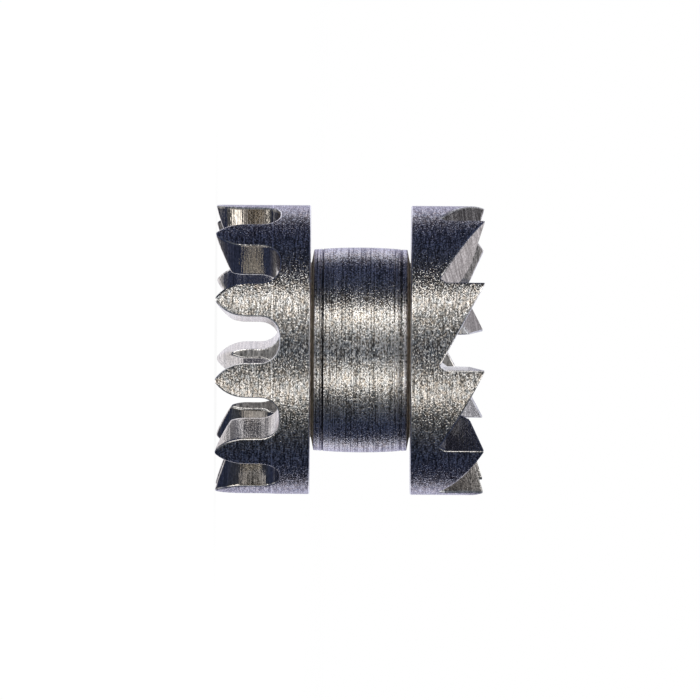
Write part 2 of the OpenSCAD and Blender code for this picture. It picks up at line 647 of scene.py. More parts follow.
@dataclass(frozen=True)
class RatchetWheel(ToothedRim):
    """The ratchet rim: saw-shaped teeth that face up, and the recess inside them."""

    teeth: int = 10
    depth: float = 0.34
    foot_w: float = 0.034
    foot_h: float = 0.045
    land: float = 0.010
    tilt: float = 1.5
    offset: float = 0.07
    wall: float = 0.43
    mouth: float = 0.17
    recess: float = 0.395
    phase: float = 277.9
    floor_r: float = 0.58
    crest_edge: float = 0.014
    blunting: float = 0.005
    lean: float = 6.0

    SLOPE_STEPS = 26
    FOOT_STEPS = 4
    FACE_STEPS = 13
    # Distance along the cut from which the edge of the recess is looked for
    SEARCH_START = 0.2
    # Least drop from the teeth to the crease where the mouth ends
    CREASE_DROP = 0.02
    # Shares of the way down the mouth, and across the floor of the recess
    MOUTH_SHARES = (0.33, 0.67, 1.0)
    FLOOR_SHARES = (0.1, 0.5, 1.0)

    @cached_property
    def root_y(self) -> float:
        """Distance of the tooth root from the axis, across the cut."""
        return self.offset - self.foot_w

    @cached_property
    def grade(self) -> float:
        """Climb of the slope, across the cut.

        Returns:
            Height gained for each step across.
        """
        tip = self.pitch - self.turn
        drop = self.blank.rim_r * (1 - math.cos(tip)) * math.tan(math.radians(self.tilt))
        return (self.depth - drop) / (self.root_y + self.blank.rim_r * math.sin(tip) - self.land)

    def height(self, x: np.ndarray, above_root: np.ndarray) -> np.ndarray:
        """Height in the blank of a point over the tilted root.

        Args:
            x: Distances along the cut.
            above_root: Heights above the root.

        Returns:
            Heights along the axis.
        """
        tilt = math.radians(self.tilt)
        root_z = self.blank.overall_l - self.depth
        return root_z + (above_root - (x - self.blank.rim_r) * math.sin(tilt)) / math.cos(tilt)

    def slope_z(self, x: np.ndarray, y: np.ndarray) -> np.ndarray:
        """Height of the slope at a point of the plan, in its cut's frame."""
        return np.minimum(self.height(x, self.grade * (self.root_y - y)), self.blank.overall_l)

    def foot_z(self, x: np.ndarray, y: np.ndarray) -> np.ndarray:
        """Height of the small flank at the foot of the upright face."""
        return self.height(x, self.foot_h * (y - self.root_y) / self.foot_w)

    def crest_z(self, x: np.ndarray) -> np.ndarray:
        """Height of the upright face's crest, where the next cut's slope meets it.

        Args:
            x: Distances along the cut.

        Returns:
            The crest's heights there.
        """
        face = np.column_stack((x, np.full_like(x, self.offset), np.zeros_like(x)))
        plan = turned(face, -self.pitch)
        return self.slope_z(plan[:, 0], plan[:, 1])

    def recess_radius(self, z: np.ndarray) -> np.ndarray:
        """Radius of the recess at a height: a cylinder with a chamfered mouth."""
        return self.inner_r + np.maximum(0.0, z - (self.blank.overall_l - self.mouth))

    def along(
        self, y: np.ndarray, height: Callable[[np.ndarray], np.ndarray], share: float
    ) -> np.ndarray:
        """Distance along the cut at a share of the way from the rim to the recess.

        Args:
            y: Distances across the cut.
            height: Surface's height as a function of the distance along the cut.
            share: Share of the way.

        Returns:
            The distances along the cut.
        """
        outer = np.sqrt(self.blank.rim_r**2 - y**2)

        def beyond(x: np.ndarray) -> np.ndarray:
            """How far a place lies outside the recess."""
            return np.hypot(x, y) - self.recess_radius(height(x))

        inner = root_between(beyond, np.full_like(y, self.SEARCH_START), outer)
        return outer + (inner - outer) * share

    def crest(self, share: float) -> np.ndarray:
        """Point of the crest.

        Args:
            share: Share of the way from the rim to the recess.

        Returns:
            The point.
        """
        y = np.array((self.offset,))
        x = self.along(y, self.crest_z, share)
        return np.array((x[0], self.offset, self.crest_z(x)[0]))

    def flank_row(self, share: float) -> np.ndarray:
        """Row of points over a tooth space: slope, foot, upright face.

        Args:
            share: Share of the way from the rim to the recess.

        Returns:
            The points.
        """
        crest = self.crest(share)
        start = turned(crest[None], -self.pitch)[0]
        root_z = self.slope_z(start[:1], np.array((self.root_y,)))[0]
        length = math.hypot(self.root_y - start[1], start[2] - root_z)
        first = self.crest_edge / length
        fall = np.concatenate(((0.0,), np.linspace(first, 1, self.SLOPE_STEPS + 1)))
        slope_y = start[1] + (self.root_y - start[1]) * fall
        slope_x = self.along(slope_y, lambda x: self.slope_z(x, slope_y), share)
        slope_x += (start[0] - slope_x[0]) * (1 - fall)
        slope = np.column_stack((slope_x, slope_y, self.slope_z(slope_x, slope_y)))
        foot_y = np.linspace(self.root_y, self.offset, self.FOOT_STEPS + 1)[1:]
        foot_x = self.along(foot_y, lambda x: self.foot_z(x, foot_y), share)
        foot = np.column_stack((foot_x, foot_y, self.foot_z(foot_x, foot_y)))
        last = 1 - self.crest_edge / (crest[2] - foot[-1, 2])
        rise = np.concatenate((np.linspace(0, last, self.FACE_STEPS)[1:], (1.0,)))
        face_y = np.full_like(rise, self.offset)

        def face_z(x: np.ndarray) -> np.ndarray:
            """Heights of the upright face's points."""
            low = self.foot_z(x, face_y)
            return low + (self.crest_z(x) - low) * rise

        face_x = self.along(face_y, face_z, share)
        face = np.column_stack((face_x, face_y, face_z(face_x)))
        row = np.concatenate((slope, foot, face))
        row[-1, 2] -= self.blunting
        row[0] = turned(row[-1:], -self.pitch)[0]
        return row

    @cached_property
    def into_metal(self) -> np.ndarray:
        """Direction into the metal for each column of a row.

        Returns:
            Rows of two numbers: across the cut, and up.
        """
        slope = np.array((-self.grade, -1.0)) / math.hypot(self.grade, 1)
        foot = np.array((self.foot_h, -self.foot_w)) / math.hypot(self.foot_h, self.foot_w)
        face = np.array((1.0, 0.0))
        crest = np.array((1.0, (1 - slope[0]) / slope[1]))
        return np.concatenate(
            (
                crest[None],
                np.tile(slope, (self.SLOPE_STEPS + 1, 1)),
                np.tile(foot, (self.FOOT_STEPS, 1)),
                np.tile(face, (self.FACE_STEPS - 1, 1)),
                crest[None],
            )
        )

    def wall_row(self, share: float) -> np.ndarray:
        """Row on a wall, one edge's rounding away from the tooth space.

        Args:
            share: 0 for the rim and 1 for the recess.

        Returns:
            The points.
        """
        row = self.flank_row(share)
        row[:, 1:] += self.edge * self.into_metal
        radius = self.blank.rim_r if share == 0 else self.recess_radius(row[:, 2])
        row[:, 0] = np.sqrt(radius**2 - row[:, 1] ** 2)
        row[0] = turned(row[-1:], -self.pitch)[0]
        return row

    def spread(self, row: np.ndarray) -> np.ndarray:
        """Angles for the plain part of the rim beside the teeth.

        Args:
            row: Row that follows the teeth.

        Returns:
            One angle per point of the row.
        """
        angle, lean = angles_of(row), math.radians(self.lean)
        root = self.SLOPE_STEPS + 1
        face = root + self.FOOT_STEPS
        start = angle[face] + lean - self.pitch
        return np.concatenate(
            (
                np.linspace(start, angle[root], root + 1)[:-1],
                angle[root:face],
                np.linspace(angle[face], start + self.pitch, len(angle) - face),
            )
        )

    def sector(self, lines: Sequence[ToolLine]) -> bpy.types.Object:
        """Builds one sector, from the middle of the waist over the teeth to the recess floor.

        Args:
            lines: Tool lines on the core's upper half.

        Returns:
            The sector's object.
        """
        grid, blank = SectorGrid(), self.blank
        cut = math.radians(self.phase) - self.turn
        columns = COLUMNS // self.teeth
        outer, inner = self.wall_row(0), self.wall_row(1)
        spread, inner_spread = self.spread(outer), self.spread(inner)
        even = on_common_columns(cut + spread[0], columns) - cut
        self.waist_rows(grid, lines, 1, even, spread)
        head_z = blank.ratchet_rim_z + blank.edge_break
        for share in reversed(self.DOWN):
            angle = angles_of(outer) * (1 - share) + spread * share
            height = outer[:, 2] * (1 - share) + head_z * share
            grid.add(polar(blank.rim_r, angle, height), Surface.RIM)
        grid.add(outer, Surface.RIM)
        upright = range(self.SLOPE_STEPS + 1, columns - 1)
        others = {Surface.EDGE: (0, columns - 1), Surface.RATCHET_FACE: upright}
        flanks = [self.flank_row(share) for share in self.ACROSS]
        grid.add(self.rounded(self.flank_row(0), outer, flanks[0]), Surface.EDGE)
        grid.add(flanks[0], Surface.EDGE)
        for row in flanks[1:]:
            grid.add(row, Surface.RATCHET_FLANK, others)
        grid.add(self.rounded(self.flank_row(1), inner, flanks[-1]), Surface.EDGE)
        grid.add(inner, Surface.EDGE)
        floor_z = blank.overall_l - self.recess
        crease = np.minimum(inner[:, 2] - self.CREASE_DROP, blank.overall_l - self.mouth)
        stations = [inner[:, 2] + (crease - inner[:, 2]) * share for share in self.MOUTH_SHARES]
        stations += [crease + (floor_z - crease) * share for share in self.WALL_SHARES]
        for step, z in enumerate(stations, start=1):
            share = step / len(stations)
            angle = angles_of(inner) * (1 - share) + inner_spread * share
            grid.add(polar(self.recess_radius(z), angle, z), Surface.RECESS)
        for share in self.FLOOR_SHARES:
            angle = inner_spread * (1 - share) + even * share
            radius = self.inner_r + (self.floor_r - self.inner_r) * share
            grid.add(polar(radius, angle, floor_z), Surface.RECESS)
        grid.rows = [turned(row, cut) for row in grid.rows]
        return grid.to_object("ratchet_sector")


@dataclass(frozen=True)
class StemBore:
    """The square bore with cut-off corners, countersunk at both ends."""

    square_w: float = 0.70
    corner_d: float = 0.93
    countersink_d: float = 1.04
    sides: int = 4

    # Shares of the way up the lower countersink, the bore and the upper countersink
    FOOT_SHARES = (0.0, 0.35, 0.7, 1.0)
    BORE_SHARES = (0.25, 0.5, 0.75, 1.0)
    HEAD_SHARES = (0.3, 0.65, 1.0)

    def radius(self, angle: np.ndarray) -> np.ndarray:
        """Radius of the bore at an angle."""
        flat = self.square_w / 2 / np.maximum(np.abs(np.cos(angle)), np.abs(np.sin(angle)))
        return np.minimum(flat, self.corner_d / 2)

    def sector(self, foot: tuple[float, float], head: tuple[float, float]) -> bpy.types.Object:
        """Builds a quarter of the bore, between the floors of the two recesses.

        Args:
            foot: Radius and height of the circle where the lower floor's sector ends.
            head: The same for the upper floor.

        Returns:
            The sector's object.
        """
        grid = SectorGrid()
        even = on_common_columns(0.0, COLUMNS // self.sides)
        corner = math.acos(self.square_w / self.corner_d)
        angle = even.copy()
        for place in (corner, math.pi / 2 - corner):
            angle[np.argmin(np.abs(even - place))] = place
        sink_r, bore_r = self.countersink_d / 2, self.radius(angle)
        grid.add(polar(foot[0], even, foot[1]), Surface.RECESS)
        low, high = foot[1] + sink_r - bore_r, head[1] - sink_r + bore_r
        for share in self.FOOT_SHARES:
            radius = sink_r + (bore_r - sink_r) * share
            grid.add(polar(radius, angle, foot[1] + sink_r - radius), Surface.RECESS)
        for share in self.BORE_SHARES:
            grid.add(polar(bore_r, angle, low + (high - low) * share), Surface.BORE)
        for share in self.HEAD_SHARES:
            radius = bore_r + (sink_r - bore_r) * share
            grid.add(polar(radius, angle, head[1] - sink_r + radius), Surface.RECESS)
        grid.add(polar(head[0], even, head[1]), Surface.RECESS)
        return grid.to_object("bore_quarter")


class Socket:
    """A node's output whose operators add Math nodes to its tree."""

    def __init__(self, maker: "NodeMaker", output: bpy.types.NodeSocket) -> None:
        """Wraps an output of a node that the maker made."""
        self.maker = maker
        self.output = output

    def __add__(self, other: "Socket | float") -> "Socket":
        """Sum."""
        return self.maker.math("ADD", self, other)

    def __radd__(self, other: float) -> "Socket":
        """Sum with a number on the left."""
        return self.maker.math("ADD", other, self)

    def __sub__(self, other: "Socket | float") -> "Socket":
        """Difference."""
        return self.maker.math("SUBTRACT", self, other)

    def __rsub__(self, other: float) -> "Socket":
        """Difference from a number on the left."""
        return self.maker.math("SUBTRACT", other, self)

    def __mul__(self, other: "Socket | float") -> "Socket":
        """Product."""
        return self.maker.math("MULTIPLY", self, other)

    def __rmul__(self, other: float) -> "Socket":
        """Product with a number on the left."""
        return self.maker.math("MULTIPLY", other, self)

    def __truediv__(self, other: "Socket | float") -> "Socket":
        """Quotient."""
        return self.maker.math("DIVIDE", self, other)

    def __pow__(self, other: "Socket | float") -> "Socket":
        """Power."""
        return self.maker.math("POWER", self, other)


class NodeMaker:
    """Adds nodes to a shader or geometry tree and links their sockets."""

    def __init__(self, tree: bpy.types.NodeTree) -> None:
        """Works on a node tree."""
        self.tree = tree

    def node(
        self,
        kind: str,
        settings: dict[str, Any] | None = None,
        sockets: dict[str | int, Any] | None = None,
    ) -> bpy.types.Node:
        """Adds a node.

        Args:
            kind: Type of the node.
            settings: Its properties, set before its sockets; "stops" fills a colour ramp.
            sockets: Values or links of its inputs, by name or number.

        Returns:
            The node.
        """
        made = self.tree.nodes.new(kind)
        for name, value in (settings or {}).items():
            if name == "stops":
                self.fill_ramp(made, value)
            else:
                setattr(made, name, value)
        for key, value in (sockets or {}).items():
            target = made.inputs[key]
            if isinstance(value, Socket):
                self.tree.links.new(value.output, target)
            else:
                target.default_value = value
        return made

    def out(
        self,
        kind: str,
        settings: dict[str, Any] | None = None,
        sockets: dict[str | int, Any] | None = None,
        output: str | int = 0,
    ) -> Socket:
        """Adds a node and gives one of its outputs."""
        return Socket(self, self.node(kind, settings, sockets).outputs[output])

    @staticmethod
    def fill_ramp(ramp: bpy.types.Node, stops: Sequence[tuple[float, Color]]) -> None:
        """Sets the stops of a colour ramp.

        Args:
            ramp: The ramp's node.
            stops: Place and colour of each stop, in order.
        """
        elements = ramp.color_ramp.elements
        while len(elements) < len(stops):
            elements.new(1.0)
        for element, (place, color) in zip(elements, stops):
            element.position, element.color = place, color

    def math(self, operation: str, *values: "Socket | float") -> Socket:
        """Adds a Math node."""
        return self.out("ShaderNodeMath", {"operation": operation}, dict(enumerate(values)))

    def mix(
        self, share: "Socket | float", one: "Socket | Color", other: "Socket | Color"
    ) -> Socket:
        """Mixes two colours."""
        return self.out("ShaderNodeMix", {"data_type": "RGBA"}, {0: share, 6: one, 7: other}, 2)

    def noise(self, vector: Socket, detail: float = 1.0) -> Socket:
        """Adds a noise texture, one unit to a grain, and gives its value."""
        sockets = {"Vector": vector, "Scale": 1.0, "Detail": detail}
        return self.out("ShaderNodeTexNoise", {}, sockets)

    def object_axes(self) -> tuple[Socket, ...]:
        """Gives x, y and z of the shaded point, in the object's own coordinates.

        Returns:
            The three sockets.
        """
        place = self.out("ShaderNodeTexCoord", output="Object")
        apart = self.node("ShaderNodeSeparateXYZ", {}, {0: place})
        return tuple(Socket(self, output) for output in apart.outputs)


def new_material(name: str) -> tuple[bpy.types.Material, NodeMaker]:
    """Makes a material with no nodes.

    Args:
        name: Name of the material.

    Returns:
        The material, and the maker of its nodes.
    """
    made = bpy.data.materials.new(name)
    made.use_nodes = True
    made.node_tree.nodes.clear()
    return made, NodeMaker(made.node_tree)


@dataclass(frozen=True)
class PaintedLightRing:
    """A ring round the axis painted brighter or darker: the dark rings are painted shade in the
    grooves of the core's tool lines, the bright ones painted highlights.

    Attributes:
        height: Height of the ring, in millimetres.
        width: Width of the ring, in millimetres.
        factor: Share by which the painted ring makes the steel's colour brighter or darker there.
    """

    height: float
    width: float
    factor: float


@dataclass(frozen=True)
class SteelFinish:
    """One finish of the pinion's steel.

    Attributes:
        name: Name of the material.
        color: Colour of the bare steel.
        tarnish: Colour that it takes in patches along the tool marks.
        edge_tint: Tint of the reflection at a grazing angle.
        roughness: Roughness of the plain surface.
        lay: Direction of the tool marks.
        grain: Length and width of a grain, in millimetres, along and across the tool marks.
        grain_depth: Depth of the grain, in millimetres.
        grain_contrast: Power by which the grain lightens and darkens the steel.
        line: Length and width of a tool line, in millimetres.
        line_depth: Depth of the tool lines, in millimetres.
        line_contrast: Power by which the tool lines lighten and darken the steel.
        tarnish_share: How much of the tarnish shows, from 0 to 1.
        sparkle: Further depth of the few highest grains, in millimetres.
        rings: Rings round the axis with painted shade and painted highlights.
        oil: Share of the surface under a thin film of oil.
        temper: How far some grains turn warm and others cool.
    """

    name: str
    color: Color
    tarnish: Color
    edge_tint: Color
    roughness: float
    lay: Lay
    grain: tuple[float, float]
    grain_depth: float
    grain_contrast: float
    line: tuple[float, float]
    line_depth: float
    line_contrast: float
    tarnish_share: float = 0.3
    sparkle: float = 0.0
    rings: tuple[PaintedLightRing, ...] = ()
    oil: float = 0.0
    temper: float = 0.0

    # Share of the height in the rings of an end face, so that its walls have them too
    RING_LEAN = 0.7
    # Share of the radius in slanted tool marks
    SLANT = 0.12
    # Length and width of a patch of tarnish, its share beside that of the tool lines,
    # its fineness, and the noise values between which it sets in
    PATCH = (0.5, 0.12)
    PATCH_SHARE = 0.6
    PATCH_DETAIL = 2.0
    PATCH_LIMITS = (0.4, 0.6)
    # Size of a warm or cool grain beside that of a plain one
    TEMPER_SIZE = 2.5
    # Noise value above which a grain sparkles
    PEAK = 0.58
    # Change of the roughness over the tool lines
    ROUGHNESS_SWING = 0.12

    def marks(self, maker: NodeMaker, along: float, across: float) -> Socket:
        """Coordinates that are stretched along the tool marks.

        Args:
            maker: Maker of the material's nodes.
            along: Length of a mark, in millimetres.
            across: Width of a mark, in millimetres.

        Returns:
            The coordinates, one unit to a mark.
        """
        x, y, z = maker.object_axes()
        if self.lay is Lay.RINGS:
            z = maker.math("SQRT", x * x + y * y) + self.RING_LEAN * z
        if self.lay is Lay.SLANTED:
            z = z + self.SLANT * maker.math("SQRT", x * x + y * y)
        if self.lay is Lay.ALONG_THE_AXIS:
            along, across = across, along
        per_length, per_width = 1 / (along * MM), 1 / (across * MM)
        stretched = {0: x * per_length, 1: y * per_length, 2: z * per_width}
        return maker.out("ShaderNodeCombineXYZ", {}, stretched)

    def material(self) -> bpy.types.Material:
        """Builds the finish's material.

        Returns:
            The material.
        """
        made, maker = new_material(self.name)
        grain = maker.noise(self.marks(maker, *self.grain))
        lines = maker.noise(self.marks(maker, *self.line))
        patches = maker.noise(self.marks(maker, *self.PATCH), self.PATCH_DETAIL)
        blotch = patches * self.PATCH_SHARE + lines * (1 - self.PATCH_SHARE)
        low, high = self.PATCH_LIMITS
        stain = maker.out(
            "ShaderNodeMapRange", {}, {"Value": blotch, "From Min": low, "From Max": high}
        )
        steel = maker.mix(stain * self.tarnish_share, self.color, self.tarnish)
        speck = (2 * grain) ** self.grain_contrast * (2 * lines) ** self.line_contrast
        # Painted shade and painted highlights: each ring darkens or brightens the colour round the
        # axis.
        height = maker.object_axes()[2]
        for ring in self.rings:
            away = maker.math("ABSOLUTE", height - ring.height * MM)
            inside = maker.math("LESS_THAN", away, ring.width / 2 * MM)
            speck = speck * (1 + inside * (ring.factor - 1))
        temper = maker.noise(self.marks(maker, *(self.TEMPER_SIZE * size for size in self.grain)))
        warmth = (temper - 0.5) * self.temper
        channels = {0: speck * (1 + warmth), 1: speck, 2: speck * (1 - warmth)}
        shade = maker.out("ShaderNodeCombineColor", {}, channels)
        color = maker.out(
            "ShaderNodeMix",
            {"data_type": "RGBA", "blend_type": "MULTIPLY", "clamp_result": True},
            {0: 1.0, 6: steel, 7: shade},
            2,
        )
        peaks = maker.math("MAXIMUM", grain - self.PEAK, 0.0)
        relief = grain * self.grain_depth + lines * self.line_depth + peaks * self.sparkle
        bump = {"Height": relief, "Distance": MM, "Strength": 1.0}
        normal = maker.out("ShaderNodeBump", {}, bump)
        shader = maker.out(
            "ShaderNodeBsdfPrincipled",
            {},
            {
                "Base Color": color,
                "Metallic": 1.0,
                "Roughness": self.roughness + (lines - 0.5) * self.ROUGHNESS_SWING,
                "Specular Tint": self.edge_tint,
                "Coat Weight": self.oil,
                "Normal": normal,
            },
        )
        maker.node("ShaderNodeOutputMaterial", {}, {"Surface": shader})
        return made


STEEL: Color = (0.48, 0.468, 0.448, 1.0)
COOL_EDGE: Color = (0.64, 0.63, 0.80, 1.0)
FINISHES: dict[Surface, SteelFinish] = {
    Surface.RIM: SteelFinish(
        name="turned_rim",
        color=STEEL,
        tarnish=(0.40, 0.376, 0.36, 1.0),
        edge_tint=COOL_EDGE,
        roughness=0.22,
        lay=Lay.ROUND_THE_AXIS,
        grain=(0.015, 0.010),
        grain_depth=0.0022,
        grain_contrast=2.9,
        line=(0.10, 0.010),
        line_depth=0.0015,
        line_contrast=1.7,
        sparkle=0.0035,
        # A painted highlight: a bright ring round the rim.
        rings=(PaintedLightRing(0.433, 0.009, 3.0),),
        temper=0.35,
    ),
    Surface.CORE: SteelFinish(
        name="turned_core_painted_light",
        # Painted light: the same turned steel as the rims, given a lighter colour so that the core
        # reads brighter.
        color=(0.68, 0.66, 0.625, 1.0),
        tarnish=(0.55, 0.53, 0.50, 1.0),
        edge_tint=COOL_EDGE,
        roughness=0.245,
        lay=Lay.ROUND_THE_AXIS,
        grain=(0.016, 0.010),
        grain_depth=0.0022,
        grain_contrast=3.3,
        line=(0.45, 0.009),
        line_depth=0.0016,
        line_contrast=2.0,
        sparkle=0.0035,
        temper=0.35,
        # Painted rings: the dark ones are painted shade over the tool-line grooves, the bright
        # ones painted highlights.
        rings=(
            PaintedLightRing(0.758, 0.008, 1.9),
            PaintedLightRing(0.770, 0.006, 0.45),
            PaintedLightRing(0.790, 0.014, 1.5),
            PaintedLightRing(0.8155, 0.015, 0.22),
            PaintedLightRing(0.8285, 0.008, 1.5),
            PaintedLightRing(1.388, 0.008, 1.5),
            PaintedLightRing(1.4135, 0.020, 0.35),
            PaintedLightRing(1.4395, 0.015, 1.7),
        ),
    ),
    Surface.END_FACE: SteelFinish(
        name="turned_end_face",
        color=STEEL,
        tarnish=(0.36, 0.34, 0.32, 1.0),
        edge_tint=COOL_EDGE,
        roughness=0.28,
        lay=Lay.RINGS,
        grain=(0.040, 0.010),
        grain_depth=0.0012,
        grain_contrast=1.4,
        line=(0.60, 0.014),
        line_depth=0.0020,
        line_contrast=1.6,
    ),
    Surface.CROWN_FLANK: SteelFinish(
        name="milled_crown_flank",
        color=(0.60, 0.58, 0.545, 1.0),
        tarnish=(0.46, 0.40, 0.33, 1.0),
        tarnish_share=0.35,
        edge_tint=(1.0, 0.98, 1.0, 1.0),
        roughness=0.11,
        lay=Lay.ROUND_THE_AXIS,
        grain=(0.03, 0.010),
        grain_depth=0.001,
        grain_contrast=0.8,
        line=(0.60, 0.010),
        line_depth=0.0018,
        line_contrast=0.8,
    ),
    Surface.RATCHET_FLANK: SteelFinish(
        name="milled_ratchet_flank",
        color=(0.47, 0.455, 0.445, 1.0),
        tarnish=(0.38, 0.36, 0.34, 1.0),
        edge_tint=(0.74, 0.70, 0.68, 1.0),
        roughness=0.19,
        lay=Lay.SLANTED,
        grain=(0.016, 0.010),
        grain_depth=0.0008,
        grain_contrast=1.2,
        line=(0.40, 0.008),
        line_depth=0.0010,
        line_contrast=1.4,
    ),
    Surface.RECESS: SteelFinish(
        name="bored_recess",
        color=(0.66, 0.65, 0.63, 1.0),
        tarnish=(0.48, 0.45, 0.42, 1.0),
        edge_tint=(0.95, 0.95, 1.0, 1.0),
        roughness=0.42,
        lay=Lay.RINGS,
        grain=(0.030, 0.010),
        grain_depth=0.0010,
        grain_contrast=0.8,
        line=(0.50, 0.012),
        line_depth=0.0016,
        line_contrast=1.0,
    ),
    Surface.BORE: SteelFinish(
        name="broached_bore",
        color=(0.50, 0.48, 0.44, 1.0),
        tarnish=(0.40, 0.35, 0.29, 1.0),
        tarnish_share=0.4,
        edge_tint=(0.90, 0.90, 0.98, 1.0),
        roughness=0.26,
        lay=Lay.ALONG_THE_AXIS,
        grain=(0.040, 0.010),
        grain_depth=0.0010,
        grain_contrast=0.8,
        line=(0.60, 0.014),
        line_depth=0.0020,
        line_contrast=1.2,
    ),
    Surface.EDGE: SteelFinish(
        name="worn_edge_painted_sheen",
        # Partly wear and partly painted highlight: the rounded edges are burnished smooth, and
        # their much lighter colour paints bright lines along them.
        color=(0.92, 0.91, 0.90, 1.0),
        tarnish=(0.80, 0.78, 0.76, 1.0),
        edge_tint=(0.9, 0.9, 1.0, 1.0),
        roughness=0.14,
        lay=Lay.ROUND_THE_AXIS,
        grain=(0.016, 0.012),
        grain_depth=0.0015,
        grain_contrast=1.0,
        line=(0.10, 0.010),
        line_depth=0.001,
        line_contrast=0.5,
    ),
    Surface.RELIEF: SteelFinish(
        name="relief_wall_painted_light",
        # Painted light: a lighter colour than the steel, so that the narrow relief groove shows
        # light instead of falling dark.
        color=(0.80, 0.75, 0.69, 1.0),
        tarnish=(0.62, 0.55, 0.48, 1.0),
        edge_tint=(1.0, 1.0, 1.0, 1.0),
        roughness=0.6,
        lay=Lay.RINGS,
        grain=(0.040, 0.010),
        grain_depth=0.0010,
        grain_contrast=0.8,
        line=(0.60, 0.014),
        line_depth=0.0010,
        line_contrast=0.8,
    ),
    Surface.RATCHET_FACE: SteelFinish(
        name="milled_ratchet_face_painted_shade",
        # Painted shade: the upright faces get a darker colour than the slopes of the same milled
        # steel.
        color=(0.40, 0.39, 0.385, 1.0),
        tarnish=(0.34, 0.32, 0.30, 1.0),
        edge_tint=(1.0, 0.99, 1.0, 1.0),
        roughness=0.20,
        lay=Lay.ROUND_THE_AXIS,
        grain=(0.016, 0.010),
        grain_depth=0.0010,
        grain_contrast=1.9,
        line=(0.40, 0.010),
        line_depth=0.0008,
        line_contrast=0.6,
        oil=0.8,
    ),
}


class PinionTree:
    """The Geometry Nodes tree that repeats the sectors round the axis and welds them."""

    WELD = 0.0002
    PARTS = ("Crown", "Ratchet", "Bore")

    def __init__(self) -> None:
        """Builds the tree with its named inputs."""
        self.tree = bpy.data.node_groups.new("pinion_from_sectors", "GeometryNodeTree")
        self.inputs: dict[str, str] = {}
        face = self.tree.interface
        face.new_socket("Geometry", in_out="INPUT", socket_type="NodeSocketGeometry")
        for part in self.PARTS:
            self.add_input(f"{part} sector", "NodeSocketObject")
            self.add_input(f"{part} copies", "NodeSocketInt")
        self.add_input("Weld distance", "NodeSocketFloat")
        for surface in Surface:
            self.add_input(FINISHES[surface].name, "NodeSocketMaterial")
        face.new_socket("Geometry", in_out="OUTPUT", socket_type="NodeSocketGeometry")
        self.maker = NodeMaker(self.tree)
        self.start = self.maker.node("NodeGroupInput")
        self.join_up()

    def add_input(self, name: str, kind: str) -> None:
        """Adds a named input to the tree and keeps its identifier."""
        made = self.tree.interface.new_socket(name, in_out="INPUT", socket_type=kind)
        self.inputs[name] = made.identifier

    def given(self, name: str) -> Socket:
        """The tree's own input of that name, as a socket to link from."""
        return Socket(self.maker, self.start.outputs[name])

    def round_the_axis(self, part: str) -> Socket:
        """Repeats one kind of sector round the axis.

        Args:
            part: Crown, Ratchet or Bore.

        Returns:
            The instances.
        """
        maker, copies = self.maker, self.given(f"{part} copies")
        one = {"Object": self.given(f"{part} sector")}
        sector = maker.out("GeometryNodeObjectInfo", {}, one, "Geometry")
        points = maker.out("GeometryNodePoints", {}, {"Count": copies})
        turn = maker.out("GeometryNodeInputIndex") * (2 * math.pi) / copies
        rotation = maker.out("ShaderNodeCombineXYZ", {}, {"Z": turn})
        spots = {"Points": points, "Instance": sector, "Rotation": rotation}
        return maker.out("GeometryNodeInstanceOnPoints", {}, spots)

    def join_up(self) -> None:
        """Joins and welds the three rounds of sectors and gives each surface its material."""
        maker = self.maker
        joined = maker.node("GeometryNodeJoinGeometry")
        for part in self.PARTS:
            self.tree.links.new(self.round_the_axis(part).output, joined.inputs[0])
        skin = maker.out("GeometryNodeRealizeInstances", {}, {0: Socket(maker, joined.outputs[0])})
        weld = {"Geometry": skin, "Distance": self.given("Weld distance")}
        skin = maker.out("GeometryNodeMergeByDistance", {}, weld)
        whole = {"data_type": "INT"}
        mark = maker.out("GeometryNodeInputNamedAttribute", whole, {"Name": "surface"})
        same = {"data_type": "INT", "operation": "EQUAL"}
        for surface in Surface:
            chosen = maker.out("FunctionNodeCompare", same, {2: mark, 3: surface.value})
            finish = self.given(FINISHES[surface].name)
            dress = {"Geometry": skin, "Selection": chosen, "Material": finish}
            skin = maker.out("GeometryNodeSetMaterial", {}, dress)
        maker.node("NodeGroupOutput", {}, {"Geometry": skin})


